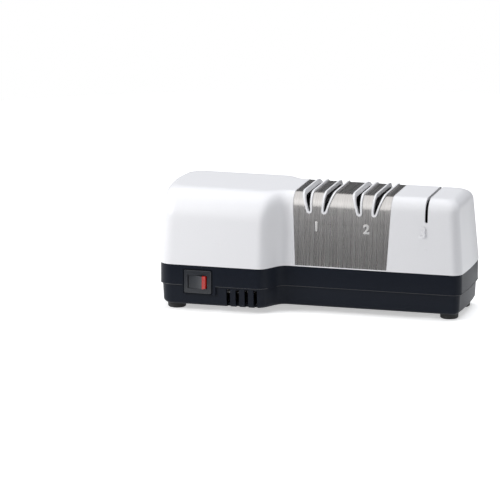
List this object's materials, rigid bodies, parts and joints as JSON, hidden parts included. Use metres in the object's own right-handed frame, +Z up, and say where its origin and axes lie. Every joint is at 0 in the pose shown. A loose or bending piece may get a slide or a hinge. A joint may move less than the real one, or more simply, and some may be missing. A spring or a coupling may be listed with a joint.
{
  "type": "electric knife sharpener",
  "caption": "Countertop electric knife sharpener: broad motor end, slim slotted head with a steel cover plate, dark base with a side rocker switch, and rubber feet.",
  "frame": {"origin": "on the table under the middle of the body, at the bottom of the rubber feet", "axes": "+X along the length from the motor end to the manual stage, +Y to the back, away from the rocker switch, +Z up"},
  "size_m": [0.253, 0.1167, 0.0992],
  "materials": {
    "white_cover": "satin moulded",
    "brushed_plate": "brushed, grain running over the top",
    "dark_base": "fine satin moulded",
    "foot_rubber": "matte",
    "switch_black": "satin",
    "switch_red": "gloss",
    "lamination_steel": "stacked sheet steel",
    "copper": "bare copper",
    "coil_tape": "wound coil under yellow tape",
    "bobbin": "moulded",
    "shaft_steel": "ground",
    "cast_aluminium": "die cast",
    "bearing_bronze": "sintered",
    "zinc_screw": "zinc plated",
    "fan_plastic": "moulded",
    "diamond_disk": "fine grit",
    "hub_plastic": "moulded acetal",
    "spring_steel": "wire",
    "guide_plastic": "moulded",
    "ceramic_wheel": "fine abrasive",
    "magnet": "sintered",
    "lead_insulation": "vinyl"
  },
  "bodies": {
    "housing": {"top_cover": "white_cover", "steel_cover_plate": "brushed_plate", "main_frame": "dark_base", "chassis_plate": "guide_plastic", "bottom_tray": "dark_base", "rubber_feet": "foot_rubber", "switch_body": "switch_black", "lead_inlet_grommet": "foot_rubber", "stator_core": "lamination_steel", "shading_rings": "copper", "coil_bobbin": "bobbin", "coil_winding": "coil_tape", "motor_bracket_front": "cast_aluminium", "motor_bracket_rear": "cast_aluminium", "outboard_bracket": "cast_aluminium", "shaft_bearings": "bearing_bronze", "motor_bolts": "zinc_screw", "bracket_screws": "zinc_screw", "housing_screws": "zinc_screw", "guide_frame": "guide_plastic", "stage_1_blade_guide": "guide_plastic", "stage_2_blade_guide": "guide_plastic", "manual_stage_carrier": "guide_plastic", "wheel_axles": "shaft_steel", "switch_lead": "lead_insulation"},
    "drive_line": {"drive_shaft": "shaft_steel", "drive_pins": "shaft_steel", "rotor_core": "lamination_steel", "rotor_end_rings": "cast_aluminium", "cooling_fan": "fan_plastic", "stage_1_spring": "spring_steel", "stage_2_spring": "spring_steel"},
    "stage_1_left": {"stage_1_disk_left": "diamond_disk", "stage_1_hub_left": "hub_plastic"},
    "stage_1_right": {"stage_1_disk_right": "diamond_disk", "stage_1_hub_right": "hub_plastic"},
    "stage_2_left": {"stage_2_disk_left": "diamond_disk", "stage_2_hub_left": "hub_plastic"},
    "stage_2_right": {"stage_2_disk_right": "diamond_disk", "stage_2_hub_right": "hub_plastic"},
    "rocker": {"switch_rocker": "switch_black", "rocker_red_end": "switch_red"},
    "manual_left": {"manual_wheels_left": "ceramic_wheel"},
    "manual_right": {"manual_wheels_right": "ceramic_wheel"},
    "clean_out": {"clean_out_cover": "dark_base", "swarf_magnet": "magnet"}
  },
  "joints": [
    {"name": "drive_spin", "type": "hinge", "parent": "housing", "child": "drive_line", "pos_m": [0, 0, 0.062], "axis": [1, 0, 0], "continuous": true},
    {"name": "stage_1_left_slide", "type": "slide", "parent": "drive_line", "child": "stage_1_left", "axis": [1, 0, 0], "range_m": [0, 0.0015], "stiffness_N_per_m": 900, "springref_m": -0.003, "deforming": ["stage_1_spring"]},
    {"name": "stage_1_right_slide", "type": "slide", "parent": "drive_line", "child": "stage_1_right", "axis": [-1, 0, 0], "range_m": [0, 0.0015], "stiffness_N_per_m": 900, "springref_m": -0.003, "deforming": ["stage_1_spring"]},
    {"name": "stage_2_left_slide", "type": "slide", "parent": "drive_line", "child": "stage_2_left", "axis": [1, 0, 0], "range_m": [0, 0.0015], "stiffness_N_per_m": 900, "springref_m": -0.003, "deforming": ["stage_2_spring"]},
    {"name": "stage_2_right_slide", "type": "slide", "parent": "drive_line", "child": "stage_2_right", "axis": [-1, 0, 0], "range_m": [0, 0.0015], "stiffness_N_per_m": 900, "springref_m": -0.003, "deforming": ["stage_2_spring"]},
    {"name": "rocker_tilt", "type": "hinge", "parent": "housing", "child": "rocker", "pos_m": [-0.0892, -0.0529, 0.0249], "axis": [0, 0, 1], "range_deg": [0, 20]},
    {"name": "manual_left_spin", "type": "hinge", "parent": "housing", "child": "manual_left", "pos_m": [0.08724, 0, 0.07762], "axis": [0, 1, 0], "continuous": true},
    {"name": "manual_right_spin", "type": "hinge", "parent": "housing", "child": "manual_right", "pos_m": [0.10416, 0, 0.07762], "axis": [0, 1, 0], "continuous": true},
    {"name": "clean_out_lift_off", "type": "slide", "parent": "housing", "child": "clean_out", "axis": [0, 0, -1], "range_m": [0, 0.02]}
  ]
}
